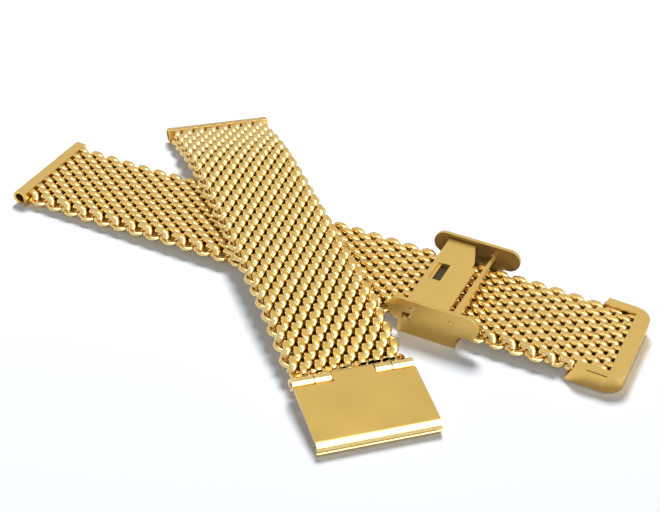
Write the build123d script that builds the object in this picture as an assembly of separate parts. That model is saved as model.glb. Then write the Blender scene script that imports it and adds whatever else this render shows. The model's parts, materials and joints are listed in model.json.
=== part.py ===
"""Milanese mesh watch band with a sliding clasp, laid down as two crossed halves.

Frame: the origin is the centre of the spring-bar channel at the long half's lug end.
+X runs along the long half from its lug bar to its tip, +Y runs across it to the far
side, and +Z is up.  All lengths are in millimetres.

The long half lies on the floor and carries the sliding clasp.  The short half, which
carries the hinged cover, is laid across it.  Each half is woven from flattened wire
spirals that are linked through each other, so every group of spirals is a body that
bends about the line where it is linked to the next group.
"""
from math import asin, atan2, cos, degrees, hypot, radians, sin

from build123d import *
import os

os.makedirs("parts", exist_ok=True)

# Mesh
band_width = 22.0
mesh_thickness = 3.2
wire_width = 0.9
spiral_pitch = 3.71
spiral_turns = 6
spiral_slant = 0.06
link_gap = 0.4
seat_gap = 0.1

# Spirals in each group, counted from the lug bar
long_spiral_counts = (4, 4, 4, 4, 4, 12)
short_spiral_counts = (4, 4, 4, 4, 2, 4)

# Lie of the two halves
crossing_along_long = 53.2
crossing_along_short = 45.95
crossing_angle = -46.68
crossing_gap = 0.3
slider_past_crossing = 28.1
floor_lift = 0.6
tail_slope = 8.7

# Lug bars
lug_wall = 0.55
lug_bore_radius = 0.9
lug_plate_length = 3.0
lug_slit_angle = 60.0

# Tip frame
tip_length = 10.0
tip_side_wall = 0.3
tip_flange = 0.35
tip_flange_width = 1.9
tip_corner_radius = 3.4
tip_front_wall = 0.9
tip_arm_slope = 1.4
tip_spiral_count = 3
tip_last_turns = 5
tip_mesh_thickness = 2.5
tip_slope = 2.0

# Slider
cheek_length = 17.4
cheek_height = 7.3
cheek_body_height = 4.5
cheek_thickness = 0.8
cheek_gap = 0.4
tab_length = 11.3
tab_notch_radius = 1.3
plate_thickness = 0.5
pin_radius = 0.5
pin_clearance = 0.04
pin_length = 3.4
lock_pin_along = 4.7
lock_pin_height = 5.66
hook_pin_along = 12.2
hook_height = 5.05
spring_hole_size = 1.6
spring_hole_along = 3.7
spring_hole_height = 3.7

# Lock plate
lock_start = 3.1
lock_flat_length = 5.3
lock_length = 7.5
lock_top = 6.5
lock_sheet = 0.75
lock_fall = 1.2
lock_skirt = 1.5
lock_gap = 0.25
lock_ear_width = 2.4
lock_ear_radius = 0.8
window_start = 1.0
window_length = 2.3
window_width = 5.6
lock_corner = 4.4
lock_step = 0.7
lock_step_width = 1.4

# Hook bar
hook_width = 1.4
hook_bar_height = 1.1
hook_taper_length = 12.0
hook_tip_width = 0.4

# End cap and cover
end_cap_length = 1.05
end_cap_margin = 0.15
hinge_offset = 2.45
hinge_height = 2.02
knuckle_radius = 1.15
knuckle_hole_radius = 0.55
hinge_pin_radius = 0.5
outer_knuckle = 3.9
inner_knuckle = 2.95
knuckle_gap = 0.15
cover_length = 14.6
cover_back = 0.65
cover_sheet = 0.7
cover_swing_gap = 0.22
cover_nose_radius = 1.4
cover_lip_sheet = 0.5
cover_lip_gap = 0.77
cover_hook_length = 1.6
cover_bead = 0.75
cover_groove = 0.15
cover_edge_drop = 0.35
cover_edge_width = 1.6
cut_overrun = 1.0

# Worked out from the sizes above
wire_half = wire_width / 2
half_length = (spiral_pitch + wire_width + link_gap) / 2
mesh_middle = mesh_thickness / 2
mesh_half_width = band_width / 2
turn_pitch = (band_width - spiral_slant - wire_width) / spiral_turns
leg_advance = turn_pitch / 2 - spiral_slant
first_spiral = lug_plate_length + seat_gap + half_length + wire_half
long_last = first_spiral + (sum(long_spiral_counts) - 1) * spiral_pitch + half_length + wire_half
short_last = first_spiral + (sum(short_spiral_counts) - 1) * spiral_pitch + half_length + wire_half
lug_radius = lug_bore_radius + lug_wall
lug_centre_x = lug_radius
lug_centre_z = mesh_thickness - lug_radius
crossing_bottom = floor_lift + mesh_thickness + crossing_gap
slider_start = crossing_along_long + slider_past_crossing


def spiral_place(index):
    """Where the spiral with this number sits along its half."""
    return first_spiral + index * spiral_pitch


def hinge_stations(groups):
    """Where each group of spirals is linked to the next, along the half."""
    stations = []
    count = 0
    for size in groups[:-1]:
        count += size
        stations.append(spiral_place(count) - spiral_pitch / 2)
    return stations


def turned(place, station, angle):
    """The place of a group linked at a station and bent down by an angle."""
    pivot = Pos(station, 0, mesh_middle)
    return place * pivot * Rot(0, angle, 0) * pivot.inverse()


def spiral_corners(shift, turns):
    """Corner points of one flattened spiral, turn by turn, with the side they lie on."""
    corners = []
    across = mesh_half_width - wire_half - shift
    for turn in range(turns):
        corners.append((-1, across, 1))
        corners.append((1, across - spiral_slant, 1))
        corners.append((1, across - spiral_slant - leg_advance, -1))
        corners.append((-1, across - turn_pitch + leg_advance, -1))
        across -= turn_pitch
    return corners


def corner_ring(side, across, level, thickness, is_end):
    """Four points of the square wire at a corner; an end of the wire is cut square."""
    outer_x = side * (half_length + wire_half)
    inner_x = outer_x if is_end else side * (half_length - wire_half)
    outer_z = level * thickness / 2
    inner_z = level * (thickness / 2 - wire_width)
    left = across - wire_half
    right = across + wire_half
    return (Vector(outer_x, left, outer_z), Vector(outer_x, right, outer_z),
            Vector(inner_x, right, inner_z), Vector(inner_x, left, inner_z))


def polygon_face(*points):
    """A flat face through the points."""
    return Face(Wire.make_polygon(points, close=True))


def wire_spiral(shift, thickness=mesh_thickness, turns=spiral_turns):
    """One flattened spiral of square wire, lying across the band."""
    corners = spiral_corners(shift, turns)
    last = len(corners) - 1
    rings = [corner_ring(*corner, thickness, index in (0, last)) for index, corner in enumerate(corners)]
    faces = [polygon_face(*rings[0]), polygon_face(*rings[last])]
    for near, far in zip(rings[:-1], rings[1:]):
        outer_left, outer_right, inner_right, inner_left = near
        far_outer_left, far_outer_right, far_inner_right, far_inner_left = far
        faces.append(polygon_face(outer_left, outer_right, far_outer_right, far_outer_left))
        faces.append(polygon_face(inner_left, inner_right, far_inner_right, far_inner_left))
        faces.append(polygon_face(outer_left, inner_left, far_inner_left))
        faces.append(polygon_face(outer_left, far_inner_left, far_outer_left))
        faces.append(polygon_face(outer_right, inner_right, far_inner_right))
        faces.append(polygon_face(outer_right, far_inner_right, far_outer_right))
    solid = Solid(Shell(faces))
    if solid.volume < 0:
        solid = Solid(Shell([-face for face in faces]))
    return solid.moved(Pos(0, 0, mesh_middle))


even_spiral = wire_spiral(0)
odd_spiral = wire_spiral(turn_pitch / 2)
tip_even_spiral = wire_spiral(0, tip_mesh_thickness)
tip_odd_spiral = wire_spiral(turn_pitch / 2, tip_mesh_thickness)
tip_last_spiral = wire_spiral(turn_pitch / 2, tip_mesh_thickness, tip_last_turns)

# The last spirals of the long half are pressed thinner and bend down towards the floor
long_count = sum(long_spiral_counts)
tip_first = long_count - tip_spiral_count
tip_pivot = Pos(spiral_place(tip_first) - spiral_pitch / 2, 0, mesh_middle)
tip_bend = tip_pivot * Rot(0, tip_slope, 0) * tip_pivot.inverse()


def mesh_group(first, size):
    """Spirals linked one through the next, each half a turn along from its neighbour."""
    spirals = []
    for index in range(first, first + size):
        pattern = even_spiral if index % 2 == 0 else odd_spiral
        spirals.append(pattern.moved(Pos(spiral_place(index), 0, 0)))
    return spirals


def tip_spirals():
    """The thinner spirals inside the tip frame; the last is shorter, for the round corners."""
    spirals = []
    for index in range(tip_first, long_count):
        pattern = tip_even_spiral if index % 2 == 0 else tip_odd_spiral
        if index == long_count - 1:
            pattern = tip_last_spiral
        spirals.append(tip_bend * pattern.moved(Pos(spiral_place(index), 0, 0)))
    return spirals


def lug_bar():
    """Folded end of a half: a flat plate whose outer edge curls round a spring bar."""
    centre = Vector(lug_centre_x, 0, lug_centre_z)
    ring = Cylinder(lug_radius, band_width, rotation=(90, 0, 0))
    ring -= Cylinder(lug_bore_radius, band_width + cut_overrun, rotation=(90, 0, 0))
    slit_reach = lug_radius + cut_overrun
    slit_half = radians(lug_slit_angle / 2)
    slit_middle = radians(-45)
    slit = [Vector(0, 0, 0)]
    for turn in (-slit_half, slit_half):
        slit.append(Vector(cos(slit_middle + turn), 0, sin(slit_middle + turn)) * slit_reach / cos(slit_half))
    ring -= extrude(polygon_face(*slit), (band_width + cut_overrun) / 2, dir=(0, 1, 0), both=True)
    bar = Pos(centre) * ring
    plate = Box(lug_plate_length - lug_centre_x, band_width, lug_wall, align=(Align.MIN, Align.CENTER, Align.MAX))
    bar += Pos(lug_centre_x, 0, mesh_thickness) * plate
    back = Box(lug_wall, band_width, mesh_thickness - lug_wall, align=(Align.MAX, Align.CENTER, Align.MIN))
    bar += Pos(lug_plate_length, 0, 0) * back
    return bar


def tip_frame():
    """Channel bent in a U round the mesh's last rows, with its corners rounded."""
    outer_half = mesh_half_width + tip_side_wall + seat_gap
    tip_end = long_last + seat_gap + tip_front_wall
    start = tip_end - tip_length
    height = tip_mesh_thickness + 2 * (tip_flange + seat_gap)
    middle_x = (start + tip_end) / 2
    block = Box(tip_length, 2 * outer_half, height)
    block = fillet(block.edges().filter_by(Axis.Z).group_by(Axis.X)[-1], tip_corner_radius)
    room_half = mesh_half_width + seat_gap
    room_height = tip_mesh_thickness + 2 * seat_gap
    room = Box(tip_length, 2 * room_half, room_height, align=(Align.MAX, Align.CENTER, Align.CENTER))
    room_corners = room.edges().filter_by(Axis.Z).group_by(Axis.X)[-1]
    room = fillet(room_corners, tip_corner_radius - tip_front_wall)
    block -= Pos(tip_length / 2 - tip_front_wall, 0, 0) * room
    window_half = room_half - tip_flange_width
    window = Box(tip_length, 2 * window_half, height + cut_overrun, align=(Align.MAX, Align.CENTER, Align.CENTER))
    block -= Pos(tip_length / 2 - tip_front_wall - tip_flange_width, 0, 0) * window
    wedge = extrude(
        polygon_face(
            Vector(-tip_length / 2, 0, height / 2),
            Vector(-tip_length / 2 + tip_arm_slope, 0, height / 2),
            Vector(-tip_length / 2, 0, -height / 2),
        ),
        outer_half + cut_overrun, dir=(0, 1, 0), both=True)
    block -= wedge
    return tip_bend * Pos(middle_x, 0, mesh_middle) * block


def quarter_arc(centre, radius, side, level):
    """Quarter circle in the corner of its centre that the two signs name."""
    across, up = centre
    middle = radius * cos(radians(45))
    return ThreePointArc((across + side * radius, up), (across + side * middle, up + level * middle),
                         (across, up + level * radius))


def cheek_profile():
    """Outline of a slider cheek: a rounded bar on a lower tab with round notches."""
    radius = cheek_body_height / 2
    low = cheek_height - cheek_body_height
    left = radius
    right = cheek_length - radius
    tab_right = left + tab_length
    notch = min(tab_notch_radius, right - tab_right)
    outline = [
        Line((left, 0), (tab_right, 0)),
        Line((tab_right, 0), (tab_right, low - notch)),
        quarter_arc((tab_right + notch, low - notch), notch, -1, 1),
        Line((tab_right + notch, low), (right, low)) if right - tab_right > notch else None,
        ThreePointArc((right, low), (right + radius, low + radius), (right, cheek_height)),
        Line((right, cheek_height), (left, cheek_height)),
        ThreePointArc((left, cheek_height), (0, low + radius), (left, low)),
        Line((left, low), (left, 0)),
    ]
    return make_face([edge for edge in outline if edge is not None])


def slider_frame():
    """Two cheeks outside the band's edges, joined by a plate under the band."""
    inner = mesh_half_width + cheek_gap
    cheek = extrude(Plane.XZ * cheek_profile(), cheek_thickness)
    frame = Pos(0, -inner, 0) * cheek + Pos(0, inner + cheek_thickness, 0) * cheek
    plate = Box(tab_length, 2 * inner + cheek_thickness, plate_thickness,
                align=(Align.MIN, Align.CENTER, Align.MIN))
    frame += Pos(cheek_body_height / 2, 0, 0) * plate
    reach = 2 * (inner + cheek_thickness + cut_overrun)
    hole = Cylinder(pin_radius + pin_clearance, reach, rotation=(90, 0, 0))
    frame -= Pos(lock_pin_along, 0, lock_pin_height) * hole
    frame -= Pos(hook_pin_along, 0, hook_height) * hole
    spring_hole = Box(spring_hole_size, cheek_thickness + cut_overrun, spring_hole_size)
    frame -= Pos(spring_hole_along, -inner - cheek_thickness / 2, spring_hole_height) * spring_hole
    return Pos(slider_start, 0, 0) * frame


def lock_pin():
    """Two short pins on which the lock plate swings, one in each cheek."""
    outer = mesh_half_width + cheek_gap + cheek_thickness
    pin = Cylinder(pin_radius, pin_length, rotation=(90, 0, 0))
    place = Pos(slider_start + lock_pin_along, 0, lock_pin_height)
    return [place * Pos(0, side * (outer - pin_length / 2), 0) * pin for side in (-1, 1)]


def hook_bar():
    """Flat bar across the slider that the cover's lip hooks over, pinned in both cheeks."""
    inner = mesh_half_width + cheek_gap
    near = hook_width / 2
    far = hook_tip_width / 2
    outline = polygon_face(
        Vector(-near, -inner, 0), Vector(near, -inner, 0), Vector(near, inner - hook_taper_length, 0),
        Vector(far, inner, 0), Vector(-near, inner, 0))
    bar = Pos(0, 0, -hook_bar_height / 2) * extrude(outline, hook_bar_height, dir=(0, 0, 1))
    reach = 2 * (inner + cheek_thickness)
    bar += Cylinder(pin_radius, reach, rotation=(90, 0, 0))
    return Pos(slider_start + hook_pin_along, 0, hook_height) * bar


def lock_plate():
    """Plate between the cheeks that swings on its pins and locks the slider to the mesh."""
    half = mesh_half_width + cheek_gap - lock_gap
    fall_top = lock_top - lock_fall
    end = lock_start + lock_length
    bend = lock_start + lock_flat_length
    side = polygon_face(
        Vector(lock_start, 0, lock_top), Vector(bend, 0, lock_top), Vector(end, 0, fall_top),
        Vector(end, 0, fall_top - lock_sheet), Vector(bend, 0, lock_top - lock_sheet),
        Vector(lock_start + lock_sheet, 0, lock_top - lock_sheet),
        Vector(lock_start + lock_sheet, 0, lock_top - lock_skirt), Vector(lock_start, 0, lock_top - lock_skirt))
    plate = extrude(side, half, dir=(0, 1, 0), both=True)
    ear = Cylinder(lock_ear_radius, lock_ear_width, rotation=(90, 0, 0))
    ear_fill = Box(2 * lock_ear_radius, lock_ear_width, lock_top - lock_sheet / 2 - lock_pin_height,
                   align=(Align.CENTER, Align.CENTER, Align.MIN))
    for side_sign in (-1, 1):
        place = Pos(lock_pin_along, side_sign * (half - lock_ear_width / 2), lock_pin_height)
        plate += place * ear + place * ear_fill
    plate -= Pos(lock_pin_along, 0, lock_pin_height) * Cylinder(
        pin_radius + pin_clearance, 2 * half + cut_overrun, rotation=(90, 0, 0))
    window = Box(window_length, window_width, 2 * lock_skirt, align=(Align.MIN, Align.CENTER, Align.CENTER))
    plate -= Pos(lock_start + window_start, 0, lock_top) * window
    corner = polygon_face(
        Vector(bend, half, 0), Vector(end - lock_step, half - lock_corner, 0),
        Vector(end - lock_step, half - lock_corner - lock_step_width, 0),
        Vector(end + cut_overrun, half - lock_corner - lock_step_width, 0),
        Vector(end + cut_overrun, half + cut_overrun, 0), Vector(bend, half + cut_overrun, 0))
    plate -= extrude(corner, lock_top + cut_overrun, dir=(0, 0, 1))
    return Pos(slider_start, 0, 0) * plate


knuckle_outer_edge = mesh_half_width - outer_knuckle
knuckle_inner_edge = knuckle_outer_edge - knuckle_gap - inner_knuckle
cap_start = short_last + seat_gap
hinge_x = cap_start + hinge_offset


def short_end_cap():
    """Bar that closes the short half and carries the two outer hinge knuckles."""
    height = mesh_thickness - 2 * end_cap_margin
    cap = Pos(cap_start, 0, end_cap_margin) * Box(
        end_cap_length, band_width, height, align=(Align.MIN, Align.CENTER, Align.MIN))
    tube = Cylinder(knuckle_radius, outer_knuckle, rotation=(90, 0, 0))
    web = Box(hinge_offset - end_cap_length / 2, outer_knuckle, knuckle_radius,
              align=(Align.MAX, Align.CENTER, Align.MAX))
    for side in (-1, 1):
        across = side * (mesh_half_width - outer_knuckle / 2)
        cap += Pos(hinge_x, across, hinge_height) * tube
        cap += Pos(hinge_x, across, hinge_height) * web
    cap -= Pos(hinge_x, 0, hinge_height) * Cylinder(
        knuckle_hole_radius, band_width + cut_overrun, rotation=(90, 0, 0))
    return cap


def hinge_pin():
    """Pin through the knuckles of the end cap and the cover."""
    return Pos(hinge_x, 0, hinge_height) * Cylinder(hinge_pin_radius, band_width, rotation=(90, 0, 0))


def cover_side():
    """Side view of the cover: flat top, rolled nose, a bead below it and a lip turned back."""
    top = hinge_height + knuckle_radius
    low = cover_lip_gap
    nose = cover_nose_radius
    end = cover_length
    sheet = cover_sheet
    inner = nose - sheet
    bead_top = low + cover_bead
    bead_back = end - cover_groove
    outline = [
        Line((-cover_back, top), (end - nose, top)),
        quarter_arc((end - nose, top - nose), nose, 1, 1),
        Line((end, top - nose), (end, bead_top + cover_groove)),
        Line((end, bead_top + cover_groove), (bead_back, bead_top)),
        ThreePointArc((bead_back, bead_top), (end, low + cover_bead / 2), (bead_back, low)),
        Line((bead_back, low), (end - cover_hook_length, low)),
        Line((end - cover_hook_length, low), (end - cover_hook_length, low + cover_lip_sheet)),
        Line((end - cover_hook_length, low + cover_lip_sheet), (end - sheet, low + cover_lip_sheet)),
        Line((end - sheet, low + cover_lip_sheet), (end - sheet, top - nose)),
        quarter_arc((end - nose, top - nose), inner, 1, 1),
        Line((end - nose, top - sheet), (-cover_back, top - sheet)),
        Line((-cover_back, top - sheet), (-cover_back, top)),
    ]
    return make_face(outline)


def cover_plate():
    """Hinged cover of the clasp, with two inner knuckles and a hooked front edge."""
    cover = extrude(Plane.XZ * cover_side(), mesh_half_width, both=True)
    swing = knuckle_radius + cover_swing_gap
    keep_half = knuckle_outer_edge - knuckle_gap
    clearance = Box(2 * swing, mesh_half_width, 2 * mesh_thickness + cover_sheet,
                    align=(Align.CENTER, Align.MIN, Align.CENTER))
    for side in (-1, 1):
        across = keep_half if side > 0 else -keep_half - mesh_half_width
        cover -= Pos(0, across, hinge_height) * clearance
    tube = Cylinder(knuckle_radius, inner_knuckle, rotation=(90, 0, 0))
    for side in (-1, 1):
        across = side * (knuckle_inner_edge + inner_knuckle / 2)
        cover += Pos(0, across, hinge_height) * tube
    cover -= Pos(0, 0, hinge_height) * Cylinder(
        knuckle_hole_radius, band_width + cut_overrun, rotation=(90, 0, 0))
    bevel = polygon_face(
        Vector(0, mesh_half_width + cut_overrun, hinge_height + knuckle_radius + cut_overrun),
        Vector(0, mesh_half_width - cover_edge_width, hinge_height + knuckle_radius + cut_overrun),
        Vector(0, mesh_half_width - cover_edge_width, hinge_height + knuckle_radius),
        Vector(0, mesh_half_width + cut_overrun,
               hinge_height + knuckle_radius - cover_edge_drop * (1 + cut_overrun / cover_edge_width)))
    edge = extrude(bevel, cover_length + cut_overrun, dir=(1, 0, 0))
    cover -= Pos(swing, 0, 0) * edge
    cover -= Pos(swing, 0, 0) * mirror(edge, about=Plane.XZ)
    return Pos(hinge_x, 0, 0) * cover


# Places of the groups of the long half, from the lug bar to the tip
long_stations = hinge_stations(long_spiral_counts)
rise = degrees(asin(floor_lift / (long_stations[1] - long_stations[0])))
long_places = [Pos(-lug_centre_x, 0, -lug_centre_z)]
for station, angle in zip(long_stations, (-rise, rise, 0, 0, 0)):
    long_places.append(turned(long_places[-1], station, angle))

# Places of the groups of the short half, out from the group that lies at the crossing
short_stations = hinge_stations(short_spiral_counts)
lug_drop = degrees(asin(crossing_bottom / short_stations[0]))
crossing = Pos(crossing_along_long - lug_centre_x, 0, crossing_bottom - lug_centre_z)
short_base = crossing * Rot(0, 0, crossing_angle) * Pos(-crossing_along_short, 0, 0)
short_places = [short_base] * len(short_spiral_counts)
short_places[0] = turned(short_base, short_stations[0], -lug_drop)
short_places[-1] = turned(short_base, short_stations[-1], tail_slope)

# The cover's front lip comes down to the floor
tail_fall = (hinge_x - short_stations[-1]) * sin(radians(tail_slope))
hinge_rise = (hinge_height - mesh_middle) * cos(radians(tail_slope))
hinge_over_floor = crossing_bottom + mesh_middle - tail_fall + hinge_rise
lip_drop = hinge_height - cover_lip_gap
cover_reach = hypot(cover_length, lip_drop)
cover_slope = degrees(asin(hinge_over_floor / cover_reach) - atan2(lip_drop, cover_length))
hinge_pivot = Pos(hinge_x, 0, hinge_height)
cover_place = short_places[-1] * hinge_pivot * Rot(0, cover_slope - tail_slope, 0) * hinge_pivot.inverse()


def write(name, shapes, place):
    """Puts the solids of one node in their place and writes them to their file."""
    solids = [solid for shape in (shapes if isinstance(shapes, list) else [shapes]) for solid in shape.solids()]
    placed = [place * solid for solid in solids]
    shape = placed[0] if len(placed) == 1 else Compound(children=placed)
    export_step(shape, f"parts/{name}.step")
    corners = shape.bounding_box()
    print(f"{name}: {len(placed)} solids, x {corners.min.X:.2f} to {corners.max.X:.2f}, "
          f"y {corners.min.Y:.2f} to {corners.max.Y:.2f}, z {corners.min.Z:.2f} to {corners.max.Z:.2f}")


def write_half(half, counts, places):
    """Writes the groups of spirals of one half; the long half ends in its tip spirals."""
    first = 0
    for number, (size, place) in enumerate(zip(counts, places), 1):
        is_tip = half == "long" and number == len(counts)
        spirals = mesh_group(first, size - tip_spiral_count) + tip_spirals() if is_tip else mesh_group(first, size)
        write(f"{half}_mesh_{number}", spirals, place)
        first += size


def report_pivots():
    """Prints where the joints lie, for the record that goes with the model."""
    for number, station in enumerate(long_stations):
        point = (long_places[number] * Pos(station, 0, mesh_middle)).position
        print(f"long joint {number + 1}: {point.X:.4f} {point.Y:.4f} {point.Z:.4f}")
    for number, station in enumerate(short_stations):
        inner = number + 1 if station < crossing_along_short else number
        point = (short_places[inner] * Pos(station, 0, mesh_middle)).position
        print(f"short joint {number + 1}: {point.X:.4f} {point.Y:.4f} {point.Z:.4f}")
    named = {
        "cover joint": short_places[-1] * hinge_pivot,
        "lock joint": long_places[-1] * Pos(slider_start + lock_pin_along, 0, lock_pin_height - floor_lift),
        "short lug": short_places[0] * Pos(lug_centre_x, 0, lug_centre_z),
        "long lug": long_places[0] * Pos(lug_centre_x, 0, lug_centre_z),
    }
    for name, place in named.items():
        print(f"{name}: {place.position.X:.4f} {place.position.Y:.4f} {place.position.Z:.4f}")
    print(f"angles: rise {rise:.3f}, lug {lug_drop:.3f}, tail {tail_slope:.3f}, cover {cover_slope:.3f}")


slider_place = long_places[-1] * Pos(0, 0, -floor_lift)
write_half("long", long_spiral_counts, long_places)
write_half("short", short_spiral_counts, short_places)
write("long_lug_bar", lug_bar(), long_places[0])
write("short_lug_bar", lug_bar(), short_places[0])
write("tip_frame", tip_frame(), long_places[-1])
write("slider_frame", slider_frame(), slider_place)
write("lock_pin", lock_pin(), slider_place)
write("hook_bar", hook_bar(), slider_place)
write("lock_plate", lock_plate(), slider_place)
write("short_end_cap", short_end_cap(), short_places[-1])
write("hinge_pin", hinge_pin(), short_places[-1])
write("cover_plate", cover_plate(), cover_place)
report_pivots()
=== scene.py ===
# %% [markdown]
# This scene dresses a woven wire watch band. The two halves lie crossed on a white
# table, and the short half, with the hinged cover, is on top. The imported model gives
# every place: the joints between the groups of wire spirals say how each half lies.

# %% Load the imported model
import json
import math

import bpy
from mathutils import Matrix, Vector

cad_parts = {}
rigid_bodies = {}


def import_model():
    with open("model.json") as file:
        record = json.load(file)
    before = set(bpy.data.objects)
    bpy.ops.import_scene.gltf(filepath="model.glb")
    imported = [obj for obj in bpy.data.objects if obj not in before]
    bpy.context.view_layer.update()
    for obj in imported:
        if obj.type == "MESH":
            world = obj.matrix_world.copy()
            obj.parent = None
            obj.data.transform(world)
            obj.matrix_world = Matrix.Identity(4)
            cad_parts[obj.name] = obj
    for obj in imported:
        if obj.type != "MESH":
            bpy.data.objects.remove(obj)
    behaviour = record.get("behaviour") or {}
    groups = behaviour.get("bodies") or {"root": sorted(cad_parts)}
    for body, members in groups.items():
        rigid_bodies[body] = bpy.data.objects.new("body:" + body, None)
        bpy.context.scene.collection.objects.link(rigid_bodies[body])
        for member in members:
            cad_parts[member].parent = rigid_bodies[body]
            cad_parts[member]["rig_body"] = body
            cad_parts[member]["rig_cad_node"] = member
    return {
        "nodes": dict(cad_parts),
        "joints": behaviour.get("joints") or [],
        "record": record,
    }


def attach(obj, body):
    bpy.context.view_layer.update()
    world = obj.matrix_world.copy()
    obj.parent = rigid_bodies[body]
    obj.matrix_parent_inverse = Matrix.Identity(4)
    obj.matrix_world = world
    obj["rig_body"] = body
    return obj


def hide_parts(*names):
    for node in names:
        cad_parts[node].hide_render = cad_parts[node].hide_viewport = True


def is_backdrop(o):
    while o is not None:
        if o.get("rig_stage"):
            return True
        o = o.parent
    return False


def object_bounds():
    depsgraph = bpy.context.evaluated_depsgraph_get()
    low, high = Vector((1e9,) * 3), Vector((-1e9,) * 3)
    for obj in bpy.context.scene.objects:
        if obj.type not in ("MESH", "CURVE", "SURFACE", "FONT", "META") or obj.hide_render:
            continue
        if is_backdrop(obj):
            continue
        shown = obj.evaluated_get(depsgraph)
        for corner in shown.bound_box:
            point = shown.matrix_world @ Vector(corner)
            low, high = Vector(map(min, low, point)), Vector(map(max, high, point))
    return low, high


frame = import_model()
cad_low, cad_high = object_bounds()
nodes = frame["nodes"]
joints = {joint["name"]: joint for joint in frame["joints"]}
mounts = {mount["name"]: mount for mount in frame["record"]["mounts"]}
MM = 0.001
print("nodes:", len(nodes), "joints:", len(joints))

# %% [markdown]
# The camera stands where the photographer's stood. Its place and its lens were worked
# out from the corners of both halves, with the band taken as 22 mm wide.

# %% Camera
PHOTO_WIDTH = 660
PHOTO_HEIGHT = 512
FOCAL_PIXELS = 1419.6
CENTRE_PIXEL = (340.4, 280.0)
CAMERA_PLACE = Vector((147.15, -206.0, 157.05)) * MM
CAMERA_PITCH = math.radians(36.04)
CAMERA_ROLL = math.radians(4.31)
CAMERA_LEVEL = Vector((0.9297, 0.3683, 0)).normalized()

ahead_level = Vector((0, 0, 1)).cross(CAMERA_LEVEL)
ahead = ahead_level * math.cos(CAMERA_PITCH) - Vector((0, 0, 1)) * math.sin(CAMERA_PITCH)
above = CAMERA_LEVEL.cross(ahead)
right = CAMERA_LEVEL * math.cos(CAMERA_ROLL) + above * math.sin(CAMERA_ROLL)
up = above * math.cos(CAMERA_ROLL) - CAMERA_LEVEL * math.sin(CAMERA_ROLL)

bpy.ops.object.camera_add()
camera = bpy.context.object
camera.matrix_world = Matrix.Translation(CAMERA_PLACE) @ Matrix((right, up, -ahead)).transposed().to_4x4()
camera.data.sensor_width = 36
camera.data.lens = FOCAL_PIXELS * camera.data.sensor_width / PHOTO_WIDTH
camera.data.shift_x = (PHOTO_WIDTH / 2 - CENTRE_PIXEL[0]) / PHOTO_WIDTH
camera.data.shift_y = (CENTRE_PIXEL[1] - PHOTO_HEIGHT / 2) / PHOTO_WIDTH
camera.data.clip_start = 0.01
bpy.context.scene.camera = camera
bpy.context.scene.view_settings.view_transform = "Standard"
print("lens:", round(camera.data.lens, 1), "mm")

# %% [markdown]
# Shader maths reads best as plain arithmetic, so a small class wraps a socket and
# turns each operator into a node. Its node method makes any other node.

# %% Shader helper


class Wire:
    """A socket of a node tree that can be used in arithmetic."""

    def __init__(self, tree, socket):
        self.tree = tree
        self.socket = socket

    def node(self, kind, settings=None, values=None, output=0):
        """Adds a node, sets it up, and gives one of its outputs."""
        made = self.tree.nodes.new(kind)
        for name, value in (settings or {}).items():
            if name == "stops":
                while len(made.color_ramp.elements) < len(value):
                    made.color_ramp.elements.new(0.5)
                for element, (place, colour) in zip(made.color_ramp.elements, value):
                    element.position = place
                    element.color = colour
            else:
                setattr(made, name, value)
        for name, value in (values or {}).items():
            if isinstance(value, Wire):
                self.tree.links.new(value.socket, made.inputs[name])
            else:
                made.inputs[name].default_value = value
        return Wire(self.tree, made.outputs[output])

    def maths(self, operation, first, second=0.0, clamp=False):
        """One Math node."""
        settings = {"operation": operation, "use_clamp": clamp}
        return self.node("ShaderNodeMath", settings, {0: first, 1: second})

    def __add__(self, other):
        return self.maths("ADD", self, other)

    def __radd__(self, other):
        return self.maths("ADD", other, self)

    def __sub__(self, other):
        return self.maths("SUBTRACT", self, other)

    def __rsub__(self, other):
        return self.maths("SUBTRACT", other, self)

    def __mul__(self, other):
        return self.maths("MULTIPLY", self, other)

    def __rmul__(self, other):
        return self.maths("MULTIPLY", other, self)

    def mix(self, first, second):
        """Two colours mixed by this value."""
        return self.node("ShaderNodeMix", {"data_type": "RGBA"}, {0: self, 6: first, 7: second}, output=2)


def new_material(name):
    """An empty metal: its shader, and a wire of object coordinates to start from."""
    made = bpy.data.materials.new(name)
    made.use_nodes = True
    tree = made.node_tree
    shader = tree.nodes["Principled BSDF"]
    shader.inputs["Metallic"].default_value = 1.0
    start = tree.nodes.new("ShaderNodeTexCoord")
    return made, shader, Wire(tree, start.outputs["Object"])


def feed(shader, name, wire):
    """Links a wire to one of the shader's sockets."""
    wire.tree.links.new(wire.socket, shader.inputs[name])


# %% [markdown]
# The plates are gold over steel with a satin finish: very fine scratches that run
# along the band, seen as a soft grain in the gloss and hardly at all in the colour.

# %% Satin plate
GRAIN_STRETCH = (1, 24, 24)
GRAIN_SCALE = 260.0
CLOUD_SCALE = 110.0
BUMP_DEPTH = 0.04 * MM
GOLD_DEEP = (0.69, 0.45, 0.12, 1)
GOLD_PALE = (0.78, 0.53, 0.16, 1)


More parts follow.
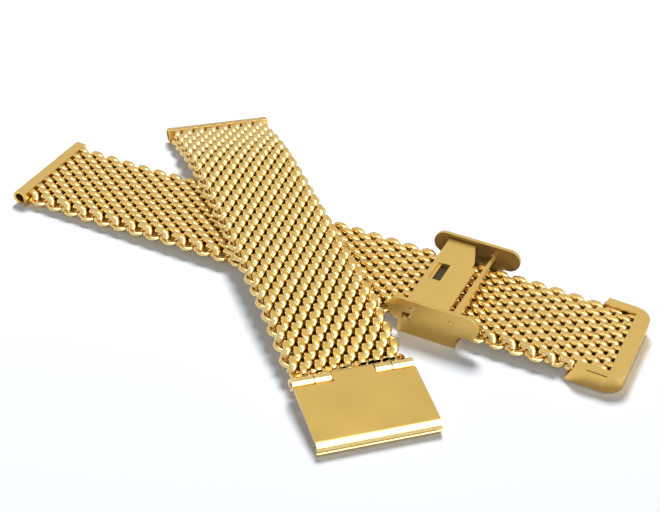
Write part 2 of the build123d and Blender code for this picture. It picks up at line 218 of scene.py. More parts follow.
def satin_gold(name, turn, roughness=0.32, deep=GOLD_DEEP, pale=GOLD_PALE):
    """Satin gold whose grain runs along the half that the turn points along."""
    made, shader, place = new_material(name)
    turned = place.node("ShaderNodeMapping", None, {"Vector": place, "Rotation": (0, 0, -turn),
                                                    "Scale": GRAIN_STRETCH})
    grain = place.node("ShaderNodeTexNoise", None, {"Vector": turned, "Scale": GRAIN_SCALE, "Detail": 4.0,
                                                    "Roughness": 0.7})
    cloud = place.node("ShaderNodeTexNoise", None, {"Vector": place, "Scale": CLOUD_SCALE, "Detail": 2.0})
    tone = (grain - 0.5) * 0.5 + cloud * 0.6 + 0.2
    feed(shader, "Base Color", tone.mix(deep, pale))
    feed(shader, "Roughness", (grain - 0.5) * 0.18 + (cloud - 0.5) * 0.1 + roughness)
    bump = place.node("ShaderNodeBump", None, {"Height": grain, "Strength": 0.18, "Distance": BUMP_DEPTH})
    feed(shader, "Normal", bump)
    return made


long_satin = satin_gold("long_satin", 0)
short_heading = math.atan2(mounts["short_lug"]["axis"][1], mounts["short_lug"]["axis"][0]) - math.pi / 2
short_satin = satin_gold("short_satin", short_heading)
# The cheeks' satin is painted a little darker than the plates' as painted shade, and their inner sides
# much darker, as painted shade.
cheek_shaded_satin = satin_gold("cheek_shaded_satin", 0, 0.36, (0.65, 0.43, 0.12, 1), (0.73, 0.50, 0.155, 1))
cheek_painted_shade = satin_gold("cheek_painted_shade", 0, 0.4, (0.25, 0.18, 0.09, 1), (0.34, 0.26, 0.13, 1))
# Near-black satin for the leaf in the lock window: painted shade.
window_painted_shade = satin_gold("window_painted_shade", 0, 0.4, (0.07, 0.055, 0.025, 1), (0.10, 0.08, 0.04, 1))
print("short half's heading:", round(math.degrees(short_heading), 2))

# %% [markdown]
# The wire was polished first and then the woven band was ground flat, so each loop has
# a bright round flank and a dull flat scale on top. They are two materials. Deep in the
# weave the wire is painted dark brown, as painted shade, and made rougher. Each wire
# carries its depth below the surface as an attribute, and the painted shade follows it.

# %% Wire and scale
WIRE_DEEP = (0.74, 0.52, 0.19, 1)
WIRE_PALE = (0.86, 0.66, 0.31, 1)
# Painted shade: the dark brown that the wire turns deep in the weave.
PAINTED_SHADE_BROWN = (0.075, 0.038, 0.010, 1)
INSIDE_ROUGHNESS = 0.5
PAINTED_SHADE_START = 0.4
PAINTED_SHADE_STEEPNESS = 2.0
RUB_SCALE = 700.0


def wire_gold(name, roughness, deep, pale):
    """Polished or ground wire: nearly even, with faint rubbing marks, and painted shade in dark brown deep
    in the weave.
    """
    made, shader, place = new_material(name)
    rub = place.node("ShaderNodeTexNoise", None, {"Vector": place, "Scale": RUB_SCALE, "Detail": 3.0})
    depth = place.node("ShaderNodeAttribute", {"attribute_name": "depth"}, output=2)
    # Painted shade: the deeper the wire lies, the more its colour turns dark brown.
    inside = place.maths("MULTIPLY", depth - PAINTED_SHADE_START, PAINTED_SHADE_STEEPNESS, clamp=True)
    feed(shader, "Base Color", inside.mix(rub.mix(deep, pale), PAINTED_SHADE_BROWN))
    feed(shader, "Roughness", (rub - 0.5) * 0.16 + roughness + inside * (INSIDE_ROUGHNESS - roughness))
    bump = place.node("ShaderNodeBump", None, {"Height": rub, "Strength": 0.12, "Distance": BUMP_DEPTH})
    feed(shader, "Normal", bump)
    return made


polished_wire = wire_gold("polished_wire", 0.16, WIRE_DEEP, WIRE_PALE)
ground_scale = wire_gold("ground_scale", 0.36, GOLD_DEEP, GOLD_PALE)

# %% [markdown]
# Small helpers for modelling: select nothing, start from a primitive, finish with
# modifiers that are applied, and leave the object at the origin.

# %% Modelling helpers


def deselect_all():
    """Leaves no object selected and none active."""
    bpy.ops.object.select_all(action="DESELECT")
    bpy.context.view_layer.objects.active = None


def activate(obj):
    """Makes an object the only one selected, and the active one."""
    deselect_all()
    obj.select_set(True)
    bpy.context.view_layer.objects.active = obj
    return obj


def apply_modifier(obj, kind, **settings):
    """Adds a modifier, sets it up and applies it."""
    activate(obj)
    modifier = obj.modifiers.new(kind.lower(), kind)
    for name, value in settings.items():
        setattr(modifier, name, value)
    bpy.ops.object.modifier_apply(modifier=modifier.name)
    return obj


def join(name, pieces):
    """Joins copies into one piece."""
    activate(pieces[0])
    for piece in pieces:
        piece.select_set(True)
    bpy.ops.object.join()
    made = bpy.context.object
    made.name = name
    made.data.name = name
    return made


# %% [markdown]
# Each half is a chain of stiff groups. The joints between them lie on its middle line,
# so the line is drawn through them, and each corner is eased into a short arc, because
# the real weave bends a little at every spiral.

# %% Middle line of each half
GROUPS = {"long": (4, 4, 4, 4, 4, 12), "short": (4, 4, 4, 4, 2, 4)}
LUG_RADIUS = 1.45 * MM
LUG_PLATE = 3.0 * MM
LUG_LIFT = 0.15 * MM
HINGE_OVER_MIDDLE = 0.42 * MM
EASE = 6.0 * MM
TIP_SPIRALS = 3
TIP_SLOPE = math.radians(2.0)
TIP_END_GAP = 0.25 * MM
joint_places = {half: [Vector(joints[f"{half}_bend_{number}"]["pos_m"]) for number in range(1, 6)]
                for half in GROUPS}
group_pitch = (joint_places["long"][3] - joint_places["long"][2]).length / GROUPS["long"][3]
row_pitch = group_pitch / 2
lug_to_joint = (joint_places["long"][0] - Vector(mounts["long_lug"]["pos_m"])).length
first_spiral = LUG_RADIUS + lug_to_joint - (GROUPS["long"][0] - 0.5) * group_pitch
print("row pitch:", round(row_pitch / MM, 3), "mm, first spiral:", round(first_spiral / MM, 2), "mm")


def group_stations(half):
    """How far from the lug's edge each group is linked to the next."""
    stations = []
    count = 0
    for size in GROUPS[half][:-1]:
        count += size
        stations.append(first_spiral + (count - 0.5) * group_pitch)
    return stations


class MiddleLine:
    """The middle line of a half: where it is, and how steep, at a distance from the lug."""

    def __init__(self, half, heading):
        self.turn = Matrix.Rotation(heading, 4, "Z")
        self.flat = self.turn.to_3x3() @ Vector((1, 0, 0))
        self.stations = group_stations(half)
        points = joint_places[half]
        self.anchor = (self.stations[2], points[2])
        lug = Vector(mounts[f"{half}_lug"]["pos_m"]) - Vector((0, 0, LUG_LIFT))
        places = [lug, *points]
        if half == "short":
            places.append(Vector(joints["cover_hinge"]["pos_m"]) - Vector((0, 0, HINGE_OVER_MIDDLE)))
        self.slopes = []
        for near, far in zip(places[:-1], places[1:]):
            self.slopes.append(math.atan2(far.z - near.z, (far - near).dot(self.flat)))
        if half == "long":
            self.slopes += [0.0, -TIP_SLOPE]
            self.stations.append(first_spiral + (sum(GROUPS["long"]) - TIP_SPIRALS - 0.5) * group_pitch)

    def slope(self, along):
        """How steep the line is, eased over each corner."""
        value = self.slopes[0]
        for station, before, after in zip(self.stations, self.slopes[:-1], self.slopes[1:]):
            share = min(max((along - station) / (2 * EASE) + 0.5, 0), 1)
            value += share * (after - before)
        return value

    def point(self, along, steps=60):
        """The point of the line at a distance from the lug, found by small steps."""
        start, place = self.anchor
        step = (along - start) / steps
        place = place.copy()
        for index in range(steps):
            slope = self.slope(start + (index + 0.5) * step)
            place += (self.flat * math.cos(slope) + Vector((0, 0, math.sin(slope)))) * step
        return place

    def matrix(self, along):
        """The place and turn of a piece that sits on the line."""
        tilt = Matrix.Rotation(-self.slope(along), 4, "Y")
        return Matrix.Translation(self.point(along)) @ self.turn @ tilt


lines = {"long": MiddleLine("long", 0.0), "short": MiddleLine("short", short_heading)}
for half, line in lines.items():
    print(half, "slopes:", [round(math.degrees(slope), 1) for slope in line.slopes])

# %% [markdown]
# One spiral is a round wire wound flat: two long sides joined by half circles, moving
# across the band as it goes. It is drawn as a curve from a formula, given its round
# section, made a mesh, and then ground flat above and below with two cuts.

# %% One wire spiral
MESH_THICKNESS = 3.2 * MM
WIRE_RADIUS = 0.68 * MM
GRIND = 0.22 * MM
WIND_HEIGHT = MESH_THICKNESS / 2 + GRIND - WIRE_RADIUS
WIND_END = 1.15 * MM
WIND_STRAIGHT = 0.3 * MM
TURN_PITCH = 2.64 * MM
POINTS_PER_TURN = 16
SIDES_RESOLUTION = 4
STRAIGHT_SHARE = 0.06
CUT_THRESHOLD = 0.0001 * MM
END_DRIFT = 0.9
GROUND_LEVEL = MESH_THICKNESS / 2 - 0.001 * MM
OPEN_EDGE = 10.0 * MM
EDGE_FADE = 2.0 * MM


def winding_point(turns):
    """Point of the wire after so many turns, starting in the middle of a top side."""
    share = (turns + 0.25) % 0.5 - 0.25
    top = 1 if (turns + 0.25) % 1.0 < 0.5 else -1
    half_straight = STRAIGHT_SHARE / 2
    if abs(share) <= half_straight:
        x, z = share / half_straight * WIND_STRAIGHT / 2, WIND_HEIGHT
    else:
        angle = (abs(share) - half_straight) / (0.25 - half_straight) * math.pi / 2
        x = math.copysign(WIND_STRAIGHT / 2 + WIND_END * math.sin(angle), share)
        z = WIND_HEIGHT * math.cos(angle)
    across = turns - END_DRIFT * math.sin(4 * math.pi * turns) / (4 * math.pi)
    return Vector((top * x, -across * TURN_PITCH, top * z))


def round_wire(name, points, radius=WIRE_RADIUS):
    """A round wire along the points, as a mesh with closed ends."""
    curve = bpy.data.curves.new(name, "CURVE")
    curve.dimensions = "3D"
    curve.bevel_depth = radius
    curve.bevel_resolution = SIDES_RESOLUTION
    curve.use_fill_caps = True
    spline = curve.splines.new("POLY")
    spline.points.add(len(points) - 1)
    for vertex, point in zip(spline.points, points):
        vertex.co = (*point, 1)
    made = bpy.data.objects.new(name, curve)
    bpy.context.scene.collection.objects.link(made)
    activate(made)
    bpy.ops.object.convert(target="MESH")
    return bpy.context.object


def cut_away(obj, point, normal):
    """Cuts off what lies beyond a plane, and closes the cut."""
    activate(obj)
    bpy.ops.object.mode_set(mode="EDIT")
    bpy.ops.mesh.select_all(action="SELECT")
    bpy.ops.mesh.bisect(plane_co=point, plane_no=normal, use_fill=True, clear_outer=True,
                        threshold=CUT_THRESHOLD)
    bpy.ops.object.mode_set(mode="OBJECT")
    return obj


def finish_wire(obj):
    """Smooth flanks in polished gold, flat scales in ground gold, and the depth written down."""
    obj.data.materials.append(polished_wire)
    obj.data.materials.append(ground_scale)
    for face in obj.data.polygons:
        face.material_index = 1 if abs(face.center.z) > GROUND_LEVEL else 0
    # The depth drives the painted shade in the wire's colour; it fades to nothing near the band's edges.
    depth = obj.data.attributes.new("depth", "FLOAT", "POINT")
    for vertex, value in zip(obj.data.vertices, depth.data):
        below = 1 - abs(vertex.co.z) / (MESH_THICKNESS / 2)
        value.value = max(min(below, (OPEN_EDGE - abs(vertex.co.y)) / EDGE_FADE), 0)
    activate(obj)
    bpy.ops.object.shade_smooth_by_angle(angle=math.radians(35))
    return obj


def make_spiral(name, start, turns):
    """A whole spiral, centred across the band and ground flat above and below."""
    steps = int(turns * POINTS_PER_TURN)
    points = [winding_point(start + step / POINTS_PER_TURN) for step in range(steps + 1)]
    shift = Vector((0, -(points[0].y + points[-1].y) / 2, 0))
    wire = round_wire(name, [point + shift for point in points])
    for side in (-1, 1):
        cut_away(wire, (0, 0, side * MESH_THICKNESS / 2), (0, 0, side))
    return finish_wire(wire)


FULL_TURNS = 7.5
patterns = [make_spiral("spiral_even", 0.25, FULL_TURNS), make_spiral("spiral_odd", 0.75, FULL_TURNS)]
print("one spiral:", len(patterns[0].data.polygons), "faces")

# %% [markdown]
# At each edge the wire of one spiral turns back into the next through a half ring that
# lies flat and stands out from the weave. These rings make the scalloped edge.

# %% Edge ring
EDGE_RING_LENGTH = 1.45 * MM
EDGE_RING_BULGE = 1.6 * MM
EDGE_RING_BASE = 8.95 * MM
EDGE_RING_DROP = 0.45 * MM
EDGE_RING_STEPS = 18
EDGE_RING_WIRE = 0.47 * MM


def make_edge_ring(name, side):
    """One half ring, from spiral to spiral, at one edge of the band."""
    points = []
    for step in range(EDGE_RING_STEPS + 1):
        angle = math.radians(-25 + 230 * step / EDGE_RING_STEPS)
        points.append(Vector((EDGE_RING_LENGTH * math.cos(angle),
                              side * (EDGE_RING_BASE + EDGE_RING_BULGE * math.sin(angle)),
                              -EDGE_RING_DROP)))
    return finish_wire(round_wire(name, points, EDGE_RING_WIRE))


edge_rings = [make_edge_ring("edge_ring_near", -1), make_edge_ring("edge_ring_far", 1)]

# %% [markdown]
# The weave is copies of the one spiral, each half a turn along from its neighbour, put
# on the middle line. A group of them rides on its own body. Where the weave meets a
# bar it is cut straight, and the rows inside the tip frame are pressed thinner. The
# wires stand as close as in the photograph and cut into each other where they cross,
# so this weave is a look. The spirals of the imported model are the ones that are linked.

# %% Weave
PRESSED_SHARE = 0.78
CUT_GAP = 0.05 * MM
TAIL_CUT = 1.6 * MM
EXTRA_ROWS = {"long": (1, 0), "short": (1, 2)}
hinge_along = first_spiral + (sum(GROUPS["short"]) - 0.5 - GROUPS["short"][-1]) * group_pitch
hinge_along += (Vector(joints["cover_hinge"]["pos_m"]) - joint_places["short"][4]).length


def copy_at(pattern, matrix):
    """A copy with its own mesh, whose place is in its mesh."""
    made = pattern.copy()
    made.data = pattern.data.copy()
    made.data.transform(matrix)
    bpy.context.scene.collection.objects.link(made)
    return made


def pressed(along):
    """How thin the weave is at a place of the long half, as a share of its thickness."""
    share = min(max((along - lines["long"].stations[-1]) / (2 * EASE) + 0.5, 0), 1)
    return 1 + share * (PRESSED_SHARE - 1)


def row_matrix(half, along):
    """Place of a row of the weave."""
    matrix = lines[half].matrix(along)
    return matrix @ Matrix.Diagonal((1, 1, pressed(along), 1)) if half == "long" else matrix


def cut_at(half, obj, along, direction):
    """Cuts a piece of a half straight across, and drops what lies past the place."""
    matrix = lines[half].matrix(along)
    return cut_away(obj, matrix.translation, matrix.to_3x3() @ Vector((direction, 0, 0)))


def weave_rows(half, rows, ring_end):
    """Copies of the spirals and edge rings for some rows of a half."""
    copies = []
    for row in rows:
        along = first_spiral + (row - 0.5) * row_pitch
        copies.append(copy_at(patterns[row % 2], row_matrix(half, along)))
        if row % 2 == 0 and row < ring_end:
            copies += [copy_at(ring, row_matrix(half, along)) for ring in edge_rings]
    return copies


def weave_half(half):
    """All the groups of spirals of one half."""
    before, after = EXTRA_ROWS[half]
    ring_end = 2 * (sum(GROUPS[half]) - (TIP_SPIRALS if half == "long" else 0))
    count = 0
    for number, size in enumerate(GROUPS[half], 1):
        first = 2 * count - (before if number == 1 else 0)
        last = 2 * (count + size) + (after if number == len(GROUPS[half]) else 0)
        woven = join(f"{half}_weave_{number}", weave_rows(half, range(first, last), ring_end))
        count += size
        if number == 1:
            cut_at(half, woven, LUG_PLATE + CUT_GAP, -1)
        if half == "short" and number == len(GROUPS[half]):
            cut_at(half, woven, hinge_along - TAIL_CUT, 1)
        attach(woven, f"{half}_group_{number}")
        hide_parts(f"{half}_mesh_{number}")
        print(woven.name, len(woven.data.polygons), "faces")


for half in ("long", "short"):
    weave_half(half)
for pattern in [*patterns, *edge_rings]:
    bpy.data.objects.remove(pattern)

# %% [markdown]
# The folded and stamped pieces keep the shape of the model. Each is copied, its loose
# triangles are merged, and its edges get a small bevel that catches the light.

# %% Plates
BEVEL_WIDTH = 0.12 * MM
PIN_BEVEL_WIDTH = 0.05 * MM
MERGE_DISTANCE = 0.000001


def stand_for(made, node, body):
    """Puts a finished piece on its body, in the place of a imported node."""
    made.name = f"{node}_skin"
    made.data.name = made.name
    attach(made, body)
    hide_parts(node)
    print(made.name, len(made.data.polygons), "faces")
    return made


def soften(made, material, width=BEVEL_WIDTH):
    """Rounds the edges of a plate, smooths it and gives it its material."""
    apply_modifier(made, "BEVEL", width=width, segments=3, limit_method="ANGLE",
                   angle_limit=math.radians(40), use_clamp_overlap=True)
    activate(made)
    bpy.ops.object.shade_smooth_by_angle(angle=math.radians(30))
    apply_modifier(made, "WEIGHTED_NORMAL", weight=100, keep_sharp=True)
    made.data.materials.clear()
    made.data.materials.append(material)
    return made


def copy_of(node):
    """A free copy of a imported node, with its triangles merged into flat faces."""
    source = nodes[node]
    made = source.copy()
    made.data = source.data.copy()
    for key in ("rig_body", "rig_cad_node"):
        del made[key]
    made.parent = None
    bpy.context.scene.collection.objects.link(made)
    activate(made)
    bpy.ops.object.mode_set(mode="EDIT")
    bpy.ops.mesh.select_all(action="SELECT")
    bpy.ops.mesh.remove_doubles(threshold=MERGE_DISTANCE)
    bpy.ops.mesh.dissolve_limited(angle_limit=math.radians(1))
    bpy.ops.object.mode_set(mode="OBJECT")
    return made


PLATES = {
    "long_lug_bar": ("long_group_1", long_satin),
    "short_lug_bar": ("short_group_1", short_satin),
}
for node, (body, material) in PLATES.items():
    stand_for(soften(copy_of(node), material), node, body)
lock_pin = soften(copy_of("lock_pin"), polished_wire, PIN_BEVEL_WIDTH)
stand_for(lock_pin, "lock_pin", "slider")

# %% [markdown]
# The slider's cheeks are duller than the plates and painted a little darker, as painted
# shade, and their inner sides are painted dark brown, as painted shade. Its hook bar
# tapers to a point at the far end.

# %% Slider
INNER_SIDE = -0.5
HOOK_TIP_SHARE = 0.15
HOOK_TIP_Y = 6.5 * MM
HOOK_END_Y = 11.6 * MM

slider_skin = soften(copy_of("slider_frame"), cheek_shaded_satin)
slider_skin.data.materials.append(cheek_painted_shade)
# Faces that look towards the middle get the dark painted shade.
for face in slider_skin.data.polygons:
    gets_painted_shade = face.normal.y * math.copysign(1, face.center.y) < INNER_SIDE
    face.material_index = 1 if gets_painted_shade else 0
stand_for(slider_skin, "slider_frame", "slider")

hook = copy_of("hook_bar")
hook_middle = sum((vertex.co.x for vertex in hook.data.vertices), 0.0) / len(hook.data.vertices)
for vertex in hook.data.vertices:
    if HOOK_TIP_Y < vertex.co.y < HOOK_END_Y:
        vertex.co.x = hook_middle + (vertex.co.x - hook_middle) * HOOK_TIP_SHARE
stand_for(soften(hook, long_satin, PIN_BEVEL_WIDTH), "hook_bar", "slider")

# %% [markdown]
# The hinge end of the short half is modelled afresh. The bar that closes the weave lies
# low, so that the last rows run over it. The outer knuckles are tubes on that bar, and
# the inner ones are curled from the sheet of the cover, which is notched around them.

# %% Blocks and tubes for the hinge end


def placed(made, local, place):
    """Puts a new primitive's mesh in its place and leaves the object at the origin."""
    made.data.transform(place @ local)
    return made


def block(place, low, high):
    """A block between two corners of a place."""
    deselect_all()
    bpy.ops.mesh.primitive_cube_add(size=1)
    low, high = Vector(low) * MM, Vector(high) * MM
    local = Matrix.Translation((low + high) / 2) @ Matrix.Diagonal((*(high - low), 1))
    return placed(bpy.context.object, local, place)


def rod(place, centre, radius, length):
    """A round bar that lies across a place."""
    deselect_all()
    bpy.ops.mesh.primitive_cylinder_add(vertices=40, radius=radius * MM, depth=length * MM)
    local = Matrix.Translation(Vector(centre) * MM) @ Matrix.Rotation(math.pi / 2, 4, "X")
    return placed(bpy.context.object, local, place)


def subtract(made, cutter):
    """Cuts one piece out of another."""
    apply_modifier(made, "BOOLEAN", operation="DIFFERENCE", solver="MANIFOLD", object=cutter)
    bpy.data.objects.remove(cutter)
    return made


KNUCKLE_RADIUS = 1.15
KNUCKLE_LIFT = 0.25
KNUCKLE_HOLE = 0.55
HOLE_DEPTH = 0.8
PIN_RADIUS = 0.5
PIN_LENGTH = 20.8
HALF_WIDTH = 11.0
OUTER_KNUCKLE = 3.9
INNER_KNUCKLE = 2.95
KNUCKLE_GAP = 0.15
BAR_BACK, BAR_FRONT = -2.45, -1.5
BAR_HALF_WIDTH = 9.5
BAR_LOW, BAR_TOP = -1.87, 0.3


def knuckle(place, side, inner, length):
    """A tube of the hinge, from its inner end outwards, with its hole at the outer end."""
    tube = rod(place, (0, side * (inner + length / 2), KNUCKLE_LIFT), KNUCKLE_RADIUS, length)
    hole = rod(place, (0, side * (inner + length), KNUCKLE_LIFT), KNUCKLE_HOLE, 2 * HOLE_DEPTH)
    return subtract(tube, hole)


hinge_place = Matrix.Translation(joints["cover_hinge"]["pos_m"]) @ Matrix.Rotation(short_heading, 4, "Z")
cap_place = hinge_place @ Matrix.Rotation(-lines["short"].slopes[-1], 4, "Y")
cap_pieces = [block(cap_place, (BAR_BACK, -BAR_HALF_WIDTH, BAR_LOW), (BAR_FRONT, BAR_HALF_WIDTH, BAR_TOP))]
for side in (-1, 1):
    edges = sorted((side * (HALF_WIDTH - OUTER_KNUCKLE), side * HALF_WIDTH))
    cap_pieces.append(block(cap_place, (BAR_FRONT, edges[0], BAR_LOW / 2), (0, edges[1], 0)))
    cap_pieces.append(knuckle(cap_place, side, HALF_WIDTH - OUTER_KNUCKLE, OUTER_KNUCKLE))
end_cap = soften(join("short_end_cap_skin", cap_pieces), polished_wire, PIN_BEVEL_WIDTH)
stand_for(end_cap, "short_end_cap", "short_group_6")
hinge_rod = rod(cap_place, (0, 0, KNUCKLE_LIFT), PIN_RADIUS, PIN_LENGTH)
soften(hinge_rod, polished_wire, PIN_BEVEL_WIDTH)
stand_for(hinge_rod, "hinge_pin", "short_group_6")

# %% [markdown]
# The lock plate swings on its two pins. Its window shows a leaf painted near black, as
# painted shade, with a lit tab on one side. The photograph doesn't show what holds them,
# so their form is a guess.

# %% Lock plate
WINDOW_SHADE_LEAF = ((-0.9, -3.1, -0.15), (2.0, 3.1, 0.12))
WINDOW_TAB = ((-0.7, -2.9, 0.0), (0.0, 2.9, 0.5))

lock_place = Matrix.Translation(joints["lock_swing"]["pos_m"])
# The leaf is painted near black, as painted shade under the window.
shade_leaf = soften(block(lock_place, *WINDOW_SHADE_LEAF), window_painted_shade, PIN_BEVEL_WIDTH)
tab = soften(block(lock_place, *WINDOW_TAB), long_satin, PIN_BEVEL_WIDTH)
lock_sheet = soften(copy_of("lock_plate"), long_satin)
stand_for(join("lock_plate_skin", [lock_sheet, tab, shade_leaf]), "lock_plate", "lock")

# %% [markdown]
# The tip frame is folded, and its fold shows as a dark crease along the near arm.

# %% Tip frame
TIP_GROOVE_LOW = (-6.45, -11.34, 1.15)
TIP_GROOVE_HIGH = (-2.8, -11.06, 2.2)

tip_along = lines["long"].stations[-1] + (TIP_SPIRALS + 0.5) * group_pitch + TIP_END_GAP
tip_place = lines["long"].matrix(tip_along)
tip_frame = subtract(copy_of("tip_frame"), block(tip_place, TIP_GROOVE_LOW, TIP_GROOVE_HIGH))
stand_for(soften(tip_frame, long_satin), "tip_frame", "long_group_6")

# %% [markdown]
# The cover is one sheet: flat, rolled over at its front edge, and turned back under in a
# lip. It is drawn from the side and extruded across the band, with its sizes in mm.

# %% Cover
COVER_TILT = math.radians(8.11)
COVER_BACK = -0.65
COVER_END = 14.6
COVER_TOP = 1.15
COVER_LOW = -1.25
COVER_SHEET = 0.7
NOSE_RADIUS = 1.4
NOSE_STEPS = 12
BEAD_RADIUS = 0.375
BEAD_FLATTENING = 0.8
GROOVE = 0.2
GROOVE_DEPTH = 0.55
LIP_LENGTH = 1.6
NOTCH_FRONT = 1.45
POLISHED_NOSE = 1.1


def nose(radius):
    """Points of the rolled front edge, from the top round to the front."""
    angles = [math.pi / 2 * step / NOSE_STEPS for step in range(NOSE_STEPS + 1)]
    middle_x, middle_z = COVER_END - NOSE_RADIUS, COVER_TOP - NOSE_RADIUS
    return [(middle_x + radius * math.sin(angle), middle_z + radius * math.cos(angle))
            for angle in angles]


def cover_outline():
    """Side view of the cover: flat sheet, rolled nose, groove, round bead and turned lip."""
    bead_middle = COVER_LOW + BEAD_RADIUS
    groove_x = COVER_END - GROOVE
    angles = [math.radians(90 - 180 * step / NOSE_STEPS) for step in range(NOSE_STEPS + 1)]
    bead = [(groove_x + BEAD_RADIUS * math.cos(angle) * BEAD_FLATTENING,
             bead_middle + BEAD_RADIUS * math.sin(angle)) for angle in angles]
    lip = [(COVER_END - LIP_LENGTH, COVER_LOW), (COVER_END - LIP_LENGTH, COVER_LOW + COVER_SHEET),
           (COVER_END - COVER_SHEET, COVER_LOW + COVER_SHEET)]
    inside = list(reversed(nose(NOSE_RADIUS - COVER_SHEET)))
    groove = (COVER_END - GROOVE_DEPTH, COVER_TOP - NOSE_RADIUS - GROOVE)
    return [(COVER_BACK, COVER_TOP), *nose(NOSE_RADIUS), groove, *bead, *lip, *inside,
            (COVER_BACK, COVER_TOP - COVER_SHEET)]


def extruded(name, outline, place):
    """A side view drawn as a curve and extruded across the band."""
    curve = bpy.data.curves.new(name, "CURVE")
    curve.dimensions = "2D"
    curve.fill_mode = "BOTH"
    curve.extrude = HALF_WIDTH * MM
    spline = curve.splines.new("POLY")
    spline.points.add(len(outline) - 1)
    for point, (x, z) in zip(spline.points, outline):
        point.co = (x * MM, z * MM, 0, 1)
    spline.use_cyclic_u = True
    made = bpy.data.objects.new(name, curve)
    bpy.context.scene.collection.objects.link(made)
    activate(made)
    bpy.ops.object.convert(target="MESH")
    made = bpy.context.object
    activate(made)
    bpy.ops.object.mode_set(mode="EDIT")
    bpy.ops.mesh.select_all(action="SELECT")
    bpy.ops.mesh.remove_doubles(threshold=MERGE_DISTANCE)
    bpy.ops.mesh.dissolve_limited(angle_limit=math.radians(1))
    bpy.ops.mesh.normals_make_consistent(inside=False)
    bpy.ops.object.mode_set(mode="OBJECT")
    return placed(made, Matrix.Rotation(math.pi / 2, 4, "X"), place)


cover_place = hinge_place @ Matrix.Rotation(COVER_TILT, 4, "Y")
cover = extruded("cover_sheet", cover_outline(), cover_place)
inner_start = HALF_WIDTH - OUTER_KNUCKLE - KNUCKLE_GAP - INNER_KNUCKLE
tubes = []
for side in (-1, 1):
    edges = sorted((side * (inner_start - KNUCKLE_GAP), side * (HALF_WIDTH + 1)))
    cover = subtract(cover, block(cover_place, (-2, edges[0], -2), (NOTCH_FRONT, edges[1], 2)))
    tubes.append(knuckle(cover_place, side, inner_start, INNER_KNUCKLE))
    edges = sorted((side * inner_start, side * (inner_start + INNER_KNUCKLE)))
    tubes.append(block(cover_place, (0, edges[0], 0), (NOTCH_FRONT + 0.1, edges[1], COVER_SHEET)))
soften(cover, short_satin)
cover.data.materials.append(polished_wire)
from_cover = cover_place.inverted()
for face in cover.data.polygons:
    rolled = (from_cover @ face.center).x > (COVER_END - POLISHED_NOSE) * MM
    face.material_index = 1 if rolled else 0
tubes = soften(join("cover_tubes", tubes), polished_wire, PIN_BEVEL_WIDTH)
stand_for(join("cover_plate_skin", [cover, tubes]), "cover_plate", "cover")

# %% [markdown]
# The table is white. To the camera, and to metal that mirrors it, it also glows a
# little, so that it reaches white while the lamps stay low and the shadow stays soft.
# The room that the metal mirrors is bright above and dim near the horizon. A high and a
# low panel on the right put the white glints on the wire ends, the knuckles and the
# rolled edge of the cover, and one overhead puts the glints on the sides of the wires.
# Those panels are for the metal alone. The lamp behind is for the table: it throws the
# soft shadows towards the camera, and the metal doesn't mirror it. The light that fills
# the shadows is a little blue.

# %% Table and light
FLOOR_LEVEL = cad_low.z - 0.02 * MM
FLOOR_SIZE = 3.0
FLOOR_COLOUR = (0.83, 0.85, 0.88, 1)
FLOOR_GLOW = 0.13
SHADE_COLOUR = (0.58, 0.76, 1.0, 1)
ROOM_LIGHT = 0.18
ROOM_STOPS = [(0.0, (0.45, 0.45, 0.45, 1)), (0.3, (0.85, 0.85, 0.85, 1)), (0.6, (1, 1, 1, 1)),
              (0.85, (0.72, 0.72, 0.72, 1))]


def ray_kind(tree, *names):
    """One where a ray is of any of the kinds, zero elsewhere."""
    light_path = tree.nodes.new("ShaderNodeLightPath")
    kinds = [Wire(tree, light_path.outputs[name]) for name in names]
    seen = kinds[0]
    for kind in kinds[1:]:
        seen = seen.maths("MAXIMUM", seen, kind)
    return seen


bpy.ops.mesh.primitive_plane_add(size=FLOOR_SIZE, location=(0.05, 0, FLOOR_LEVEL))
floor = bpy.context.object
floor.name = "table"
floor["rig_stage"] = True
white = bpy.data.materials.new("white_table")
white.use_nodes = True
table_shader = white.node_tree.nodes["Principled BSDF"]
table_shader.inputs["Base Color"].default_value = FLOOR_COLOUR
table_shader.inputs["Roughness"].default_value = 0.9
table_shader.inputs["Specular IOR Level"].default_value = 0.0
table_shader.inputs["Emission Color"].default_value = (1, 1, 1, 1)
table_seen = ray_kind(white.node_tree, "Is Camera Ray", "Is Glossy Ray", "Is Transmission Ray")
feed(table_shader, "Emission Strength", table_seen * FLOOR_GLOW)
floor.data.materials.append(white)

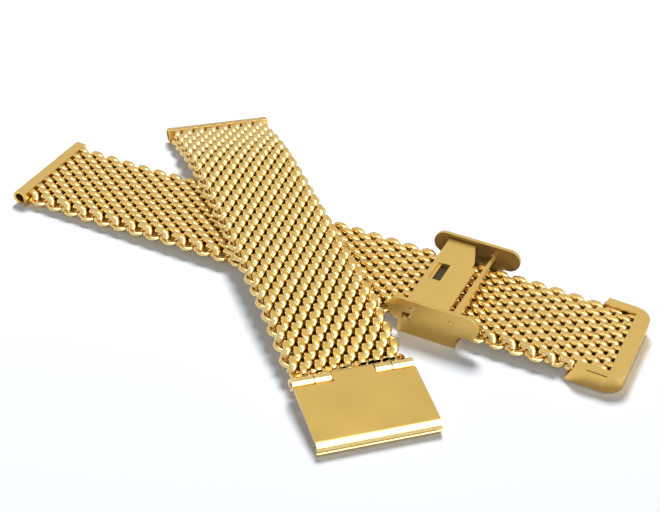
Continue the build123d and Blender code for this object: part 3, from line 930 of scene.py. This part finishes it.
world = bpy.data.worlds.new("white_room")
bpy.context.scene.world = world
world.use_nodes = True
room_tree = world.node_tree
backdrop = room_tree.nodes["Background"]
direction = Wire(room_tree, room_tree.nodes.new("ShaderNodeTexCoord").outputs["Generated"])
height = direction.node("ShaderNodeSeparateXYZ", None, {0: direction}, output=2)
mirrored = height.node("ShaderNodeValToRGB", {"stops": ROOM_STOPS}, {0: height})
is_glossy = ray_kind(room_tree, "Is Glossy Ray")
is_diffuse = ray_kind(room_tree, "Is Diffuse Ray")
unmirrored = is_diffuse.mix((1, 1, 1, 1), SHADE_COLOUR)
room_tree.links.new(is_glossy.mix(unmirrored, mirrored).socket, backdrop.inputs["Color"])
room_seen = ray_kind(room_tree, "Is Camera Ray", "Is Glossy Ray", "Is Transmission Ray")
room_tree.links.new((room_seen * (1 - ROOM_LIGHT) + ROOM_LIGHT).socket, backdrop.inputs["Strength"])


def panel(name, place, size, height, watts, for_table=False):
    """A flat lamp that faces the middle of the band, and lights the table or the metal."""
    bpy.ops.object.light_add(type="AREA", location=place)
    lamp = bpy.context.object
    lamp.name = name
    lamp.data.shape = "RECTANGLE"
    lamp.data.size = size
    lamp.data.size_y = height
    lamp.data.energy = watts
    lamp.rotation_euler = (Vector((0.055, 0, 0)) - Vector(place)).to_track_quat("-Z", "Y").to_euler()
    lamp.visible_diffuse = for_table
    lamp.visible_glossy = not for_table
    return lamp


panel("overhead_panel", (0.04, -0.12, 1.0), 0.55, 0.55, 4.0)
panel("right_panel", (0.60, 0.0, 0.85), 0.55, 0.55, 3.6)
panel("low_right_panel", (0.60, -0.23, 0.30), 0.6, 0.45, 3.0)
panel("table_lamp", (-0.19, 0.52, 0.80), 0.34, 0.34, 12.0, for_table=True)

# %% Size of the dressed model
new_low, new_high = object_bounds()
for axis, name in enumerate("xyz"):
    low_by = (cad_low[axis] - new_low[axis]) / MM
    high_by = (new_high[axis] - cad_high[axis]) / MM
    print(name, "outside the model's box by", round(low_by, 2), "and", round(high_by, 2), "mm")
